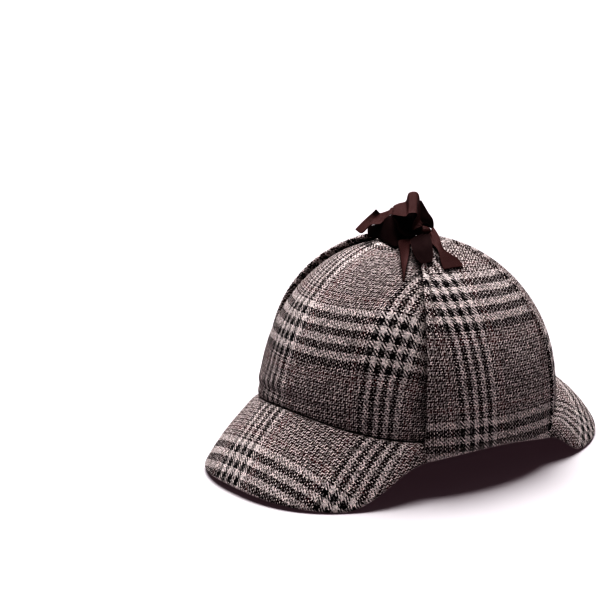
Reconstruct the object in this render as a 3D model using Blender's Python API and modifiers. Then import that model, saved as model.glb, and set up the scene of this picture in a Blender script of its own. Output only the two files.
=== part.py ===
"""A deerstalker hat at rest on its two peaks, with both ear flaps tied up over the crown by a ribbon bow.

Units are metres. The pieces are modelled about the middle of the head opening, with the front at -Y,
the wearer's left at +X and the apex up, and the whole hat is then leaned back until both peaks touch z = 0.
"""

from collections import namedtuple
from math import pi, radians

import bmesh
import bpy
import numpy as np
from mathutils import Matrix, Vector

MM = 0.001

# Crown: an oval at the rim that closes in to an apex. All sizes are of the outer face.
HALF_WIDTH = 84 * MM
HALF_LENGTH = 102 * MM
OVAL_POWER = 2.05       # 2 is an ellipse, more is squarer
CROWN_HEIGHT = 120 * MM
DOME_POWER = 2.5        # 2 is an ellipsoid, more has fuller shoulders
APEX_FORWARD = 3 * MM   # how far the apex sits in front of the middle of the rim
CROWN_CLOTH = 2.0 * MM
TIP_ANGLE = radians(89.0)  # the panels stop this far up the dome, just short of the apex

# Angles run round the rim from the middle of the front, positive to the wearer's left.
FLAP_FRONT = radians(60.5)
PEAK_END = radians(60.2)
PANEL_SEAM = radians(62.0)
SEAM_GAP = 0.4 * MM

# Ear flaps: two more gores, folded up at the rim and lying over the sides of the crown.
FLAP_CLOTH = 2.2 * MM
FLAP_GAP = 0.8 * MM       # from the crown to the flap, along its middle
FLAP_EDGE_OPEN = 2.6 * MM  # how much further the front and back edges stand off
FLAP_TOP = 117 * MM
FLAP_ARCH = 6.0 * MM      # how far the folded lower edge rises at its middle
FLAP_LIP = 0.6 * MM       # how far the fold hangs below that edge
PIECE_GAP = 0.4 * MM

# Peaks. Heights are from the rim's plane, drops are below it.
PEAK_CLOTH = 3.0 * MM
PEAK_STAND_OFF = 4.6 * MM  # how far the ends of a peak's outer edge stand off the crown
Peak = namedtuple(
    "Peak", "facing corner_height seam_arch arch_power reach fullness middle_drop low_drop low_at bulge"
)
FRONT_PEAK = Peak(-1, 12 * MM, 10 * MM, 1.8, 83 * MM, 2.4, 22 * MM, 24 * MM, radians(52), 3 * MM)
REAR_PEAK = Peak(1, 9 * MM, 19 * MM, 1.8, 95 * MM, 1.9, 6 * MM, 14 * MM, radians(66), 4 * MM)

# Bow: its own axes are across, up and toward, seen from in front and to the wearer's left.
BOW_TURN = radians(52)
BOW_LEAN = radians(12)
KNOT_PLACE = (11 * MM, -4.5 * MM)
KNOT_HALF = Vector((5.0, 4.6, 4.3)) * MM
RIBBON = 1.0 * MM

WOOL = ("glen_check_wool", (0.17, 0.125, 0.105), 0.95)
SATIN = ("brown_ribbon", (0.055, 0.026, 0.024), 0.5)

# A ribbon is the band between two edges, with a row for each place where it turns.
Band = namedtuple("Band", "near_across near_up near_toward far_across far_up far_toward")
LOOP_FRONT = [
    Band(-4.3, -1.0, 4.9, -5.4, 1.6, 3.5),
    Band(-10.0, -3.4, 8.5, -7.6, 9.6, -3.0),
    Band(-15.6, -1.0, 12.0, -13.2, 11.5, -3.5),
    Band(-17.7, 4.5, 12.5, -16.4, 13.0, -4.0),
    Band(-20.6, 9.0, 12.0, -19.0, 15.2, -4.5),
    Band(-16.2, 8.9, 11.0, -15.7, 17.3, -5.0),
    Band(-11.9, 8.8, 10.5, -11.3, 18.9, -5.5),
    Band(-9.6, 10.9, 10.0, -9.5, 24.1, -5.0),
    Band(-5.2, 10.6, 9.5, -4.4, 24.2, -5.0),
    Band(-7.4, 5.7, 9.0, -2.9, 16.3, -2.0),
    Band(-7.7, 0.8, 7.5, -2.5, 8.1, -0.5),
    Band(-2.6, 3.1, 4.9, -1.3, 5.2, 1.4),
]
LOOP_BACK = [
    Band(-2.8, 5.2, -1.2, 3.1, 5.2, -1.4),
    Band(-9.0, 7.4, -6.5, 6.0, 3.0, -5.9),
    Band(-10.6, 11.5, -9.0, 5.8, 8.1, -7.0),
    Band(-10.0, 15.6, -10.5, 2.6, 13.0, -9.0),
    Band(-8.0, 18.0, -12.0, -1.6, 20.0, -11.5),
    Band(-6.5, 13.5, -16.0, 1.5, 15.0, -15.0),
    Band(-3.0, 7.0, -12.5, 4.0, 8.0, -11.5),
    Band(-1.2, 3.2, -5.4, 3.0, 3.2, -5.4),
]
TAIL_LEFT = [
    Band(-5.5, 1.0, -1.2, -5.1, 2.5, -4.4),
    Band(-12.0, 3.2, -6.0, -11.6, 6.4, -13.0),
    Band(-19.1, 10.5, -6.0, -18.3, 14.9, -17.0),
    Band(-24.0, 7.1, -3.0, -21.1, 13.4, -17.0),
    Band(-27.1, 4.1, -1.0, -24.3, 12.0, -15.5),
    Band(-32.7, 3.3, -1.0, -26.9, 11.2, -13.0),
    Band(-38.1, -1.8, 0.0, -28.4, 12.2, -11.0),
    Band(-41.8, 0.3, -6.0, -29.6, 13.2, -9.0),
]
TAIL_UNDER = [
    Band(-5.6, -2.4, 2.4, -5.6, -0.6, -1.0),
    Band(-11.5, -4.8, 3.8, -11.5, 1.5, -2.0),
    Band(-16.8, -9.6, 14.0, -18.2, 9.4, -1.0),
    Band(-21.1, -8.8, 11.5, -22.0, 8.6, 0.0),
    Band(-25.1, -6.2, 4.0, -25.1, 4.2, -3.7),
    Band(-29.0, -4.2, -6.0, -29.3, 3.7, -8.0),
    Band(-33.5, -3.6, -11.0, -33.9, 3.0, -13.0),
]
TAIL_NEAR = [
    Band(-1.8, -1.4, 5.4, 3.2, -1.4, 5.3),
    Band(-8.5, -5.6, 14.0, 3.5, -4.8, 14.0),
    Band(-7.9, -11.0, 23.0, 3.8, -9.2, 23.5),
    Band(-5.9, -16.4, 28.5, 3.8, -14.8, 29.5),
    Band(-3.1, -20.0, 32.0, 3.4, -18.4, 33.0),
]
TAIL_FRONT = [
    Band(-4.5, -3.3, 3.6, -3.3, -4.4, 2.0),
    Band(-11.0, -5.2, 9.5, -8.2, -7.2, 9.5),
    Band(-16.2, -6.8, 16.0, -9.2, -9.6, 14.0),
    Band(-15.4, -13.4, 22.5, -9.8, -14.1, 21.0),
    Band(-14.7, -20.9, 31.0, -11.3, -20.7, 30.5),
    Band(-14.2, -26.9, 37.5, -12.7, -26.9, 37.0),
    Band(-14.0, -31.1, 41.5, -13.3, -31.1, 41.2),
]

# The flap ribbons are sewn near the tips of the flaps. Their rows are in the hat's own axes, as places
# over the crown and the height there above it.
Strap = namedtuple("Strap", "front_x front_y front_rise back_x back_y back_rise")
STRAP_LEFT = [
    Strap(46.4, -18.4, 5.7, 46.9, -4.2, 5.3),
    Strap(42.7, -17.4, 6.2, 43.2, -3.5, 5.6),
    Strap(38.6, -15.5, 7.2, 39.1, -7.4, 6.5),
    Strap(34.9, -14.1, 7.6, 34.1, -9.5, 7.2),
    Strap(26.5, -11.0, 5.2, 24.5, -3.8, 7.2),
    Strap(17.8, -5.6, 4.0, 14.5, 0.6, 8.0),
]
STRAP_RIGHT = [
    Strap(-49.5, -13.0, 5.4, -49.5, 7.0, 5.4),
    Strap(-38.0, -11.5, 5.0, -38.0, 5.5, 5.0),
    Strap(-24.0, -8.5, 4.6, -24.0, 3.0, 4.6),
    Strap(-9.0, -6.0, 3.2, -9.0, 1.0, 3.2),
    Strap(4.6, -4.4, 4.0, 5.2, 0.2, 4.0),
]


def oval(angle):
    """Unit oval: (sin, -cos) of the angle, pushed out so that the sum of their powers is one."""
    across, ahead = np.sin(angle), -np.cos(angle)
    scale = (np.abs(across) ** OVAL_POWER + np.abs(ahead) ** OVAL_POWER) ** (-1 / OVAL_POWER)
    return across * scale, ahead * scale


def dome(angle, climb):
    """Point of the crown's outer face. climb is 0 at the rim's plane and pi / 2 at the apex."""
    share = np.sin(climb) ** (2 / DOME_POWER)
    width, length = oval(angle)
    across = HALF_WIDTH * width * np.cos(climb)
    ahead = HALF_LENGTH * length * np.cos(climb) - APEX_FORWARD * share**2
    return np.stack(np.broadcast_arrays(across, ahead, CROWN_HEIGHT * share), axis=-1)


def climb_at(height):
    """The climb at which the dome is this high."""
    share = np.clip(height / CROWN_HEIGHT, 1e-6, 1)
    return np.arcsin(share ** (DOME_POWER / 2))


def off_dome(angle, climb, lift):
    """Point that stands off the crown by lift, along its outward normal."""
    step = 1e-4
    climb = np.clip(climb, 2 * step, TIP_ANGLE)
    round_it = dome(angle + step, climb) - dome(angle - step, climb)
    up_it = dome(angle, climb + step) - dome(angle, climb - step)
    normal = np.cross(round_it, up_it)
    normal /= np.linalg.norm(normal, axis=-1, keepdims=True)
    return dome(angle, climb) + np.asarray(lift)[..., None] * normal


def seam_height(peak, share):
    """Height of the seam between crown and peak; share is 0 in the middle and 1 at each end."""
    bow = np.cos(np.clip(np.abs(share), 0, 1) * pi / 2)
    return peak.corner_height + peak.seam_arch * np.maximum(bow, 0) ** peak.arch_power


def fold_height(angle):
    """Height of a flap's folded lower edge, which arches between its two corners."""
    share = (np.abs(angle) - pi / 2) / (pi / 2 - FLAP_FRONT)
    return FLAP_ARCH * np.cos(np.clip(share, -1, 1) * pi / 2)


def smooth(rows, along):
    """Curve through the rows, by Catmull-Rom; along is 0 at the first row and 1 at the last."""
    rows = np.asarray(rows, float) * MM
    padded = np.vstack([2 * rows[0] - rows[1], rows, 2 * rows[-1] - rows[-2]])
    place = np.clip(along, 0, 1) * (len(rows) - 1)
    start = np.minimum(place.astype(int), len(rows) - 2)
    t = (place - start)[:, None]
    before, a, b, after = (padded[start + k] for k in range(4))
    return 0.5 * (2 * a + (b - before) * t + (2 * before - 5 * a + 4 * b - after) * t**2
                  + (3 * (a - b) + after - before) * t**3)


def clear_scene():
    for obj in list(bpy.data.objects):
        bpy.data.objects.remove(obj)


def new_material(name, colour, roughness):
    material = bpy.data.materials.new(name)
    material.use_nodes = True
    shader = material.node_tree.nodes["Principled BSDF"]
    shader.inputs["Base Color"].default_value = (*colour, 1)
    shader.inputs["Roughness"].default_value = roughness
    return material


def new_object(name, mesh, parent, finish):
    obj = bpy.data.objects.new(name, mesh)
    bpy.data.collections["deerstalker_hat"].objects.link(obj)
    obj.parent = parent
    if mesh:
        mesh.materials.append(new_material(f"{name}_{finish[0]}", *finish[1:]))
        mesh.shade_smooth()
    return obj


def sheet(name, place, across, along, thickness, offset, parent, finish):
    """A piece of cloth: a grid whose corners are set by place(u, v), thickened by Solidify.

    offset is -1 where place gives the outer face, and 0 where it gives the middle of the cloth."""
    grid = bmesh.new()
    bmesh.ops.create_grid(grid, x_segments=across, y_segments=along, size=0.5)
    share = np.array([vert.co[:2] for vert in grid.verts]) + 0.5
    for vert, point in zip(grid.verts, place(share[:, 0], share[:, 1])):
        vert.co = point
    mesh = bpy.data.meshes.new(name)
    grid.to_mesh(mesh)
    grid.free()
    obj = new_object(name, mesh, parent, finish)
    wall = obj.modifiers.new("cloth", "SOLIDIFY")
    wall.thickness = thickness
    wall.offset = offset
    wall.use_even_offset = True
    return obj


def crown_panel(name, middle, half_angle, lower_edge, across, parent):
    """One gore, from its lower edge to the apex, with its side edges half a seam gap inside the seam."""
    def place(u, v):
        side = 2 * u - 1
        low = climb_at(lower_edge(middle + side * half_angle))
        climb = low + (TIP_ANGLE - low) * v
        inset = np.arcsin(np.clip(0.5 * SEAM_GAP / (HALF_WIDTH * np.cos(climb)), 0, 0.5))
        return dome(middle + side * (half_angle - inset), climb)

    return sheet(name, place, across, 12, CROWN_CLOTH, -1, parent, WOOL)


def peak_edge(peak, turn):
    """Outer edge of a peak: a full oval in plan, low at low_at to each side and higher between."""
    corner = off_dome(np.array([PEAK_END]), climb_at(0), PEAK_STAND_OFF)[0]
    across, ahead = np.sin(turn), np.cos(turn)
    scale = (np.abs(across) ** peak.fullness + ahead**peak.fullness) ** (-1 / peak.fullness)
    reach = peak.reach
    inner = (1 - np.cos(pi * np.clip(np.abs(turn) / peak.low_at, 0, 1))) / 2
    outer = (1 - np.cos(pi * np.clip((pi / 2 - np.abs(turn)) / (pi / 2 - peak.low_at), 0, 1))) / 2
    middle = -peak.middle_drop + (peak.middle_drop - peak.low_drop) * inner
    height = np.where(np.abs(turn) < peak.low_at, middle, -peak.low_drop * outer)
    return np.stack([
        corner[0] * across * scale,
        peak.facing * (abs(corner[1]) + reach * ahead * scale),
        height,
    ], axis=-1)


def peak_piece(name, peak, parent):
    """A peak: tucked under the crown's lower edge, then falling in a gentle bulge to its outer edge."""
    rows = 8

    def place(u, v):
        turn_way = -peak.facing
        share = turn_way * -(2 * u - 1)
        angle = share * PEAK_END if peak.facing < 0 else pi - share * PEAK_END
        seam_climb = climb_at(seam_height(peak, share) - PIECE_GAP)
        tuck = off_dome(angle, seam_climb, np.full_like(u, -CROWN_CLOTH))
        seam = off_dome(angle, seam_climb, np.full_like(u, PIECE_GAP))
        edge = peak_edge(peak, share * pi / 2 * 0.9999)
        fall = np.clip((v * rows - 1) / (rows - 1), 0, 1)[:, None]
        bulge = 4 * fall * (1 - fall) * peak.bulge * np.array([0, 0.5 * peak.facing, 0.8])
        slope = (1 - fall) * seam + fall * edge + bulge
        return np.where(v[:, None] < 0.5 / rows, tuck, slope)

    return sheet(name, place, 32, rows, PEAK_CLOTH, -1, parent, WOOL)


def flap_lift(angle, height):
    """How far a flap's outer face stands off the crown: more along its two free edges."""
    share = np.abs(np.abs(angle) - pi / 2) / (pi / 2 - FLAP_FRONT)
    edge = np.clip((share - 0.5) / 0.5, 0, 1) ** 2
    belly = np.sin(pi * np.clip(height / FLAP_TOP, 0, 1))
    return FLAP_CLOTH + FLAP_GAP + FLAP_EDGE_OPEN * edge * belly


def ear_flap(name, side, parent):
    """A flap: its lip turns in under the crown's edge, and the rest climbs the crown to a narrow tip."""
    rows = 18
    lip = [(-CROWN_CLOTH, 0.0), (1.0 * MM, -FLAP_LIP), (FLAP_CLOTH + FLAP_GAP, 1.2 * MM)]

    def place(u, v):
        angle = side * (pi / 2 + (2 * u - 1) * (pi / 2 - FLAP_FRONT) * side)
        row = np.rint(v * rows).astype(int)
        fold = fold_height(angle)
        climb_share = np.clip((row - len(lip) + 1) / (rows - len(lip) + 1), 0, 1)
        low, high = climb_at(fold + lip[-1][1]), climb_at(FLAP_TOP)
        climb = low + (high - low) * climb_share
        height = CROWN_HEIGHT * np.sin(climb) ** (2 / DOME_POWER)
        points = off_dome(angle, climb, flap_lift(angle, height))
        for k, (lift, rise) in enumerate(lip[:-1]):
            at_rim = off_dome(angle, climb_at(fold), np.full_like(u, lift))
            at_rim[:, 2] = fold + rise
            points = np.where((row == k)[:, None], at_rim, points)
        return points

    return sheet(name, place, 14, rows, FLAP_CLOTH, -1, parent, WOOL)


def bow_ribbon(name, rows, along, parent):
    """A ribbon of the bow, from its table of near and far edges in the bow's axes."""
    def place(u, v):
        across, up, toward = 0, 1, 2
        edges = smooth(rows, v)
        near, far = edges[:, :3], edges[:, 3:]
        point = near + (far - near) * u[:, None]
        return np.stack([point[:, across], -point[:, toward], point[:, up]], axis=-1)

    return sheet(name, place, 2, along, RIBBON, 0, parent, SATIN)


def flap_strap(name, rows, parent):
    """The ribbon sewn to the tip of a flap, up to the knot."""
    def place(u, v):
        edges = smooth(rows, v)
        point = edges[:, :3] + (edges[:, 3:] - edges[:, :3]) * u[:, None]
        point[:, 2] += crown_height_over(point[:, 0], point[:, 1])
        return point

    return sheet(name, place, 2, 12, RIBBON, 0, parent, SATIN)


def knot(parent):
    """The wrapped knot: a soft cushion from a cube's cage."""
    cage = bmesh.new()
    bmesh.ops.create_cube(cage, size=2)
    bmesh.ops.scale(cage, vec=KNOT_HALF * 1.25, verts=cage.verts)
    mesh = bpy.data.meshes.new("bow_knot")
    cage.to_mesh(mesh)
    cage.free()
    obj = new_object("bow_knot", mesh, parent, SATIN)
    soft = obj.modifiers.new("soft", "SUBSURF")
    soft.levels = soft.render_levels = 2
    return obj


def crown_height_over(x, y):
    """Height of the crown's outer face above a point near its middle."""
    near = (np.abs(x / HALF_WIDTH) ** 2 + np.abs((y + APEX_FORWARD) / HALF_LENGTH) ** 2) ** 0.5
    return CROWN_HEIGHT * (1 - near**2) ** (1 / DOME_POWER)


def evaluated_points(obj):
    """Corners of the finished mesh, in the hat's own axes."""
    mesh = obj.evaluated_get(bpy.context.evaluated_depsgraph_get()).to_mesh()
    points = np.empty(len(mesh.vertices) * 3)
    mesh.vertices.foreach_get("co", points)
    return points.reshape(-1, 3)


def set_down(hat, front, rear, others):
    """Lean the hat back until both peaks are as low, then lift it to z = 0 and centre its length."""
    def turned(points, lean):
        return points @ np.array(Matrix.Rotation(-lean, 3, "X")).T

    front, rear = evaluated_points(front), evaluated_points(rear)
    flat, steep = radians(0), radians(8)
    for _ in range(40):
        lean = (flat + steep) / 2
        if turned(front, lean)[:, 2].min() > turned(rear, lean)[:, 2].min():
            steep = lean
        else:
            flat = lean
    every = np.vstack([turned(points, lean) for points in [front, rear, *map(evaluated_points, others)]])
    hat.rotation_euler = (-lean, 0, 0)
    hat.location = (0, -(every[:, 1].min() + every[:, 1].max()) / 2, -every[:, 2].min())
    print(f"lean {np.degrees(lean):.3f} degrees, moved {hat.location.y / MM:.3f}, {hat.location.z / MM:.3f} mm")


def main():
    clear_scene()
    collection = bpy.data.collections.new("deerstalker_hat")
    bpy.context.scene.collection.children.link(collection)
    hat = new_object("hat", None, None, None)

    def front_edge(angle):
        return seam_height(FRONT_PEAK, angle / PEAK_END)

    def back_edge(angle):
        return seam_height(REAR_PEAK, (pi - angle) / PEAK_END)

    def side_edge(angle):
        return fold_height(angle) + FLAP_CLOTH + 2 * PIECE_GAP

    half_side = pi / 2 - PANEL_SEAM
    crown_panel("crown_front_panel", 0, PANEL_SEAM, front_edge, 20, hat)
    crown_panel("crown_back_panel", pi, PANEL_SEAM, back_edge, 20, hat)
    crown_panel("crown_side_left", pi / 2, half_side, side_edge, 8, hat)
    crown_panel("crown_side_right", -pi / 2, half_side, side_edge, 8, hat)
    front = peak_piece("front_peak", FRONT_PEAK, hat)
    rear = peak_piece("rear_peak", REAR_PEAK, hat)
    left = ear_flap("ear_flap_left", 1, hat)
    right = ear_flap("ear_flap_right", -1, hat)
    flap_strap("flap_ribbon_left", STRAP_LEFT, hat)
    flap_strap("flap_ribbon_right", STRAP_RIGHT, hat)

    bow = new_object("bow", None, hat, None)
    rest = crown_height_over(*KNOT_PLACE) + PIECE_GAP + KNOT_HALF.z
    bow.location = (*KNOT_PLACE, rest)
    bow.rotation_euler = (-BOW_LEAN, 0, BOW_TURN)
    knot(bow)
    bow_ribbon("bow_loop_front", LOOP_FRONT, 44, bow)
    bow_ribbon("bow_loop_back", LOOP_BACK, 24, bow)
    bow_ribbon("bow_tail_left", TAIL_LEFT, 20, bow)
    bow_ribbon("bow_tail_under", TAIL_UNDER, 14, bow)
    bow_ribbon("bow_tail_near", TAIL_NEAR, 14, bow)
    bow_ribbon("bow_tail_front", TAIL_FRONT, 16, bow)
    set_down(hat, front, rear, [left, right])


main()
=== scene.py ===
# %% [markdown]
# # A deerstalker hat in glen check wool
#
# The hat stands on its front and rear peaks, with both ear flaps turned up over the crown and tied
# there by a ribbon bow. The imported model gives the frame: where every piece is and how large it may be.
# This lesson dresses it. Each piece of cloth is made again as a fine surface, with rolled edges, seams
# and folds, and one woven pattern runs over all of them along each piece's own grain.

# %% Load the frame
from collections import namedtuple
from math import cos, pi, radians, sin

import bmesh
import bpy
import numpy as np
from mathutils import Matrix


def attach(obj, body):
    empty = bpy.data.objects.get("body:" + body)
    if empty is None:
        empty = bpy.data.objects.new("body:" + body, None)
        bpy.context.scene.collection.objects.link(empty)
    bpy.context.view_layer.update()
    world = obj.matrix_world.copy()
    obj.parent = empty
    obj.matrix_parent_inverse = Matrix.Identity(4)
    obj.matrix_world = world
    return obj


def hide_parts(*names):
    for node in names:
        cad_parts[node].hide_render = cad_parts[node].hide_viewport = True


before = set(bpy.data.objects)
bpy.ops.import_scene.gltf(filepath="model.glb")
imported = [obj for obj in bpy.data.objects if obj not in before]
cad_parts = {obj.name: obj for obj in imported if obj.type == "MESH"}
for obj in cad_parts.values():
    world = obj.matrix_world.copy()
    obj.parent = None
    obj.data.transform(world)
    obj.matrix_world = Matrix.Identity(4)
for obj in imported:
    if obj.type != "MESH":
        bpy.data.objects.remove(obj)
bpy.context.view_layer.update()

MM = 0.001
print("pieces in the frame:", ", ".join(sorted(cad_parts)))

# %% Small helpers for the formulas
def bell(distance, width):
    """A smooth ridge: 1 where the distance is zero, almost nothing past two widths."""
    return np.exp(-(distance / width) ** 2)


def ramp(value, length):
    """From 0 to 1 over this length, and level beyond."""
    return np.clip(value / length, 0, 1)


def unit(vectors):
    """The same directions with length one."""
    return vectors / np.maximum(np.linalg.norm(vectors, axis=-1, keepdims=True), 1e-12)


def stacked(*parts):
    """Arrays brought to one shape and stacked as the parts of points, or as the corners of faces."""
    return np.stack(np.broadcast_arrays(*parts), axis=-1)


def step_lengths(points, axis=0):
    """Lengths of the steps from point to point along one axis of a grid."""
    return np.linalg.norm(np.diff(points, axis=axis), axis=-1)


# %% [markdown]
# ## The hat's own axes
#
# The shapes are easiest to write about the middle of the head opening: the rim is the plane z = 0, the
# front is at -Y, the wearer's left at +X and the apex straight up. The real hat leans back a little,
# because its rear peak is turned up more than its front one, so the finished points are leaned and
# lifted as a whole until both peaks touch the floor.

# %% Where the hat stands
LEAN_BACK = radians(2.854)
MOVED_BACK = -5.296 * MM
LIFTED = 19.965 * MM
lean_matrix = np.array(Matrix.Rotation(-LEAN_BACK, 3, "X"))


def to_world(points):
    """Lean the points back about the rim's left-right axis, then move them back and up."""
    return points @ lean_matrix.T + (0, MOVED_BACK, LIFTED)


print(f"hat leans back {np.degrees(LEAN_BACK):.1f} degrees and is lifted {LIFTED / MM:.1f} mm")

# %% [markdown]
# ## Camera
#
# The picture is taken from in front and to the wearer's left, a little above, with a short telephoto
# lens from just over a metre. The view's own right, up and backward directions are worked out from the
# two angles, so the camera can be set beside the hat by plain distances.

# %% Camera
VIEW_TURN = radians(52.53)
VIEW_RISE = radians(13.81)
VIEW_DISTANCE = 1.1
VIEW_RIGHT = 68.45 * MM    # the frame's middle is this far left of the rim's middle
VIEW_UP = -76.61 * MM
LENS = 103.1

view_back = np.array([sin(VIEW_TURN) * cos(VIEW_RISE), -cos(VIEW_TURN) * cos(VIEW_RISE), sin(VIEW_RISE)])
view_right = np.array([cos(VIEW_TURN), sin(VIEW_TURN), 0])
view_up = np.cross(view_back, view_right)


def new_object(name, data):
    """An object of this name in the scene."""
    obj = bpy.data.objects.new(name, data)
    bpy.context.scene.collection.objects.link(obj)
    return obj


def turned(right, up, back):
    """The turn of a camera or lamp that has these three directions."""
    return Matrix(stacked(right, up, back).tolist()).to_4x4()


camera = new_object("camera", bpy.data.cameras.new("camera"))
camera.data.lens = LENS
camera.data.sensor_width = 36
place = (0, MOVED_BACK, LIFTED) + VIEW_DISTANCE * view_back - VIEW_RIGHT * view_right - VIEW_UP * view_up
camera.matrix_world = Matrix.Translation(place.tolist()) @ turned(view_right, view_up, view_back)
bpy.context.scene.camera = camera
print("camera at", np.round(place, 3))

# %% [markdown]
# ## The crown's curve
#
# A six or eight gore hat is a dome over an oval. The oval is a superellipse, a little squarer than an
# ellipse, and the dome is full at the shoulders: its height goes with the sine of the climb to the
# power 2 / 2.5. Every piece that touches the crown is measured off this one surface, so nothing needs
# fitting afterwards.

# %% Crown surface
HALF_WIDTH = 84 * MM
HALF_LENGTH = 102 * MM
OVAL_POWER = 2.05
CROWN_HEIGHT = 120 * MM
DOME_POWER = 2.5
APEX_FORWARD = 3 * MM
CROWN_CLOTH = 2.0 * MM
APEX = pi / 2


def oval(angle, power):
    """Unit superellipse: (sin, -cos) of the angle, pushed out until the sum of their powers is one."""
    across, ahead = np.sin(angle), -np.cos(angle)
    scale = (np.abs(across) ** power + np.abs(ahead) ** power) ** (-1 / power)
    return across * scale, ahead * scale


def dome(angle, climb):
    """Crown's outer face: the oval times cos(climb), at a height that goes with sin(climb)^(2 / power)."""
    share = np.sin(climb) ** (2 / DOME_POWER)
    width, length = oval(angle, OVAL_POWER)
    across = HALF_WIDTH * width * np.cos(climb)
    ahead = HALF_LENGTH * length * np.cos(climb) - APEX_FORWARD * share**2
    return stacked(across, ahead, CROWN_HEIGHT * share)


def climb_at(height):
    """The climb at which the dome is this high: the inverse of its height formula."""
    share = np.clip(height / CROWN_HEIGHT, 1e-6, 1)
    return np.arcsin(share ** (DOME_POWER / 2))


def off_dome(angle, climb, lift):
    """Point that stands off the crown by lift, along the normal found from two small steps."""
    step = 1e-4
    safe = np.clip(climb, 2 * step, APEX - 2 * step)
    round_it = dome(angle + step, safe) - dome(angle - step, safe)
    up_it = dome(angle, safe + step) - dome(angle, safe - step)
    return dome(angle, climb) + np.asarray(lift)[..., None] * unit(np.cross(round_it, up_it))


rim = dome(np.linspace(0, 2 * pi, 721), 0.0)
print(f"rim outside {step_lengths(rim).sum() * 100:.1f} cm round")

# %% [markdown]
# ## Cloth with rolled edges
#
# A piece of sewn cloth is never a bare sheet: its edge is folded under and looks round. So each piece
# is made as one closed wall. A grid gives the outer face, the same grid pushed back along its normals
# gives the inner face, and half circles from one to the other close the edge. Each corner also carries
# its place on the flat cloth in metres, as a UV map, and the weave is drawn from that.

# %% Closed wall from a grid
RIM_STEPS = 5


def grid_normals(points):
    """Unit normals of a grid: the cross product of its two directions of growth."""
    normal = np.cross(np.gradient(points, axis=1), np.gradient(points, axis=0))
    thin = np.linalg.norm(normal[-1], axis=-1) < 1e-12
    normal = unit(normal)
    normal[-1][thin] = normal[-2][thin]
    return normal


def edge_walk(index):
    """A grid's border, anticlockwise, and for each of its points the next one further in."""
    rows, columns = index.shape
    border = np.concatenate([index[0, :-1], index[:-1, -1], index[-1, :0:-1], index[:0:-1, 0]])
    row, column = np.divmod(border, columns)
    inward = index[np.clip(row, 1, rows - 2), np.clip(column, 1, columns - 2)]
    return border, inward


def quads(first, second):
    """Faces of the strip between two closed loops of indices."""
    return stacked(first, second, np.roll(second, -1), np.roll(first, -1))


def cloth_wall(name, outer, cloth, thickness, reverse=None, painted_edge_highlight=None):
    """A closed mesh from the outer face's grid, its places on the flat cloth and the wall's thickness."""
    rows, columns = outer.shape[:2]
    normal = grid_normals(outer)
    inner = outer - np.broadcast_to(thickness, (rows, columns))[..., None] * normal
    index = np.arange(rows * columns).reshape(rows, columns)
    front = stacked(index[:-1, :-1], index[:-1, 1:], index[1:, 1:], index[1:, :-1]).reshape(-1, 4)
    back = front[:, ::-1] + rows * columns

    border, inward = edge_walk(index)
    flat_outer, flat_inner, flat_cloth = outer.reshape(-1, 3), inner.reshape(-1, 3), cloth.reshape(-1, 2)
    along = np.roll(flat_outer[border], -1, axis=0) - np.roll(flat_outer[border], 1, axis=0)
    outward = unit(np.cross(along, normal.reshape(-1, 3)[border]))
    turn = np.arange(1, RIM_STEPS)[:, None, None] * pi / RIM_STEPS
    middle = (flat_outer[border] + flat_inner[border]) / 2
    half = (flat_outer[border] - flat_inner[border]) / 2
    radius = np.linalg.norm(half, axis=1, keepdims=True)
    rings = middle + np.cos(turn) * half + np.sin(turn) * outward * radius
    step = np.linalg.norm(flat_outer[border] - flat_outer[inward], axis=1, keepdims=True)
    growth = (flat_cloth[border] - flat_cloth[inward]) / np.maximum(step, 1e-6)
    ring_cloth = flat_cloth[border] + growth * radius * turn

    start = 2 * rows * columns
    loops = [border]
    loops += [start + k * len(border) + np.arange(len(border)) for k in range(RIM_STEPS - 1)]
    loops += [border + rows * columns]
    sides = np.concatenate([quads(a, b) for a, b in zip(loops, loops[1:])])
    points = to_world(np.concatenate([flat_outer, flat_inner, rings.reshape(-1, 3)]))
    behind = flat_cloth if reverse is None else reverse.reshape(-1, 2)
    places = np.concatenate([flat_cloth, behind, ring_cloth.reshape(-1, 2)])
    obj = new_mesh(name, points, [front, back, sides], places)
    # The flaps carry a share of painted highlight along their folded edge, kept as a point attribute.
    if painted_edge_highlight is not None:
        layer = obj.data.attributes.new("painted_edge_highlight", "FLOAT", "POINT")
        edge_highlight_share = np.concatenate([painted_edge_highlight.ravel(), painted_edge_highlight.ravel(), np.tile(painted_edge_highlight.ravel()[border], RIM_STEPS - 1)])
        layer.data.foreach_set("value", edge_highlight_share)
    return obj


def new_mesh(name, points, faces, places=None):
    """A smooth mesh from points and arrays of faces, with each point's place on the cloth as a UV map."""
    corners = np.concatenate([group.ravel() for group in faces])
    sides = np.concatenate([np.full(len(group), group.shape[1]) for group in faces])
    mesh = bpy.data.meshes.new(name)
    mesh.vertices.add(len(points))
    mesh.vertices.foreach_set("co", points.ravel())
    mesh.loops.add(len(corners))
    mesh.loops.foreach_set("vertex_index", corners)
    mesh.polygons.add(len(sides))
    mesh.polygons.foreach_set("loop_start", np.cumsum(sides) - sides)
    mesh.update(calc_edges=True)
    if places is not None:
        mesh.uv_layers.new(name="cloth").data.foreach_set("uv", places[corners].ravel())
    mesh.shade_smooth()
    return new_object(name, mesh)


def close_pole(obj):
    """Merge the corners that meet in one point, as at the crown's apex."""
    work = bmesh.new()
    work.from_mesh(obj.data)
    bmesh.ops.remove_doubles(work, verts=work.verts, dist=1e-6)
    bmesh.ops.dissolve_degenerate(work, edges=work.edges, dist=1e-7)
    work.to_mesh(obj.data)
    work.free()


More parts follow.
